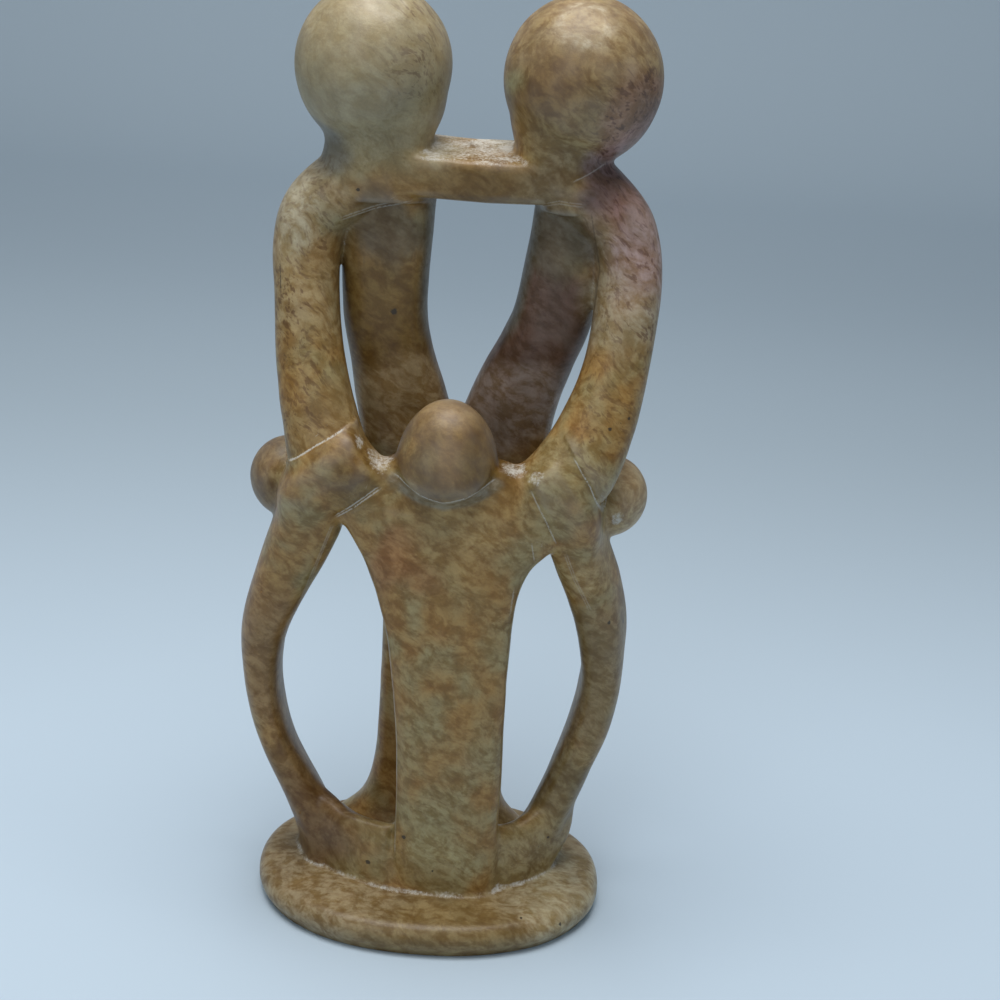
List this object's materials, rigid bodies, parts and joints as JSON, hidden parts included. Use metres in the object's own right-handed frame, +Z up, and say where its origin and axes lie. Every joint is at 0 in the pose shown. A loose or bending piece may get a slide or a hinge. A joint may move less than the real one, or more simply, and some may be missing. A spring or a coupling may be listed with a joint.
{
  "type": "family group sculpture",
  "caption": "Standing family group carved from one stone: tall parents with ball heads joined at the shoulders, arms round smaller figures, on an oval base.",
  "frame": {"origin": "middle of the base's flat underside", "axes": "+Z up through the figures, -Y towards the front where the single child faces, +X to the viewer's right"},
  "size_m": [0.09, 0.0626, 0.2122],
  "materials": {
    "soapstone": "waxed satin, mottled tan, cream, olive and purple-brown stone"
  },
  "bodies": {
    "root": {"family_group": "soapstone"}
  },
  "joints": []
}
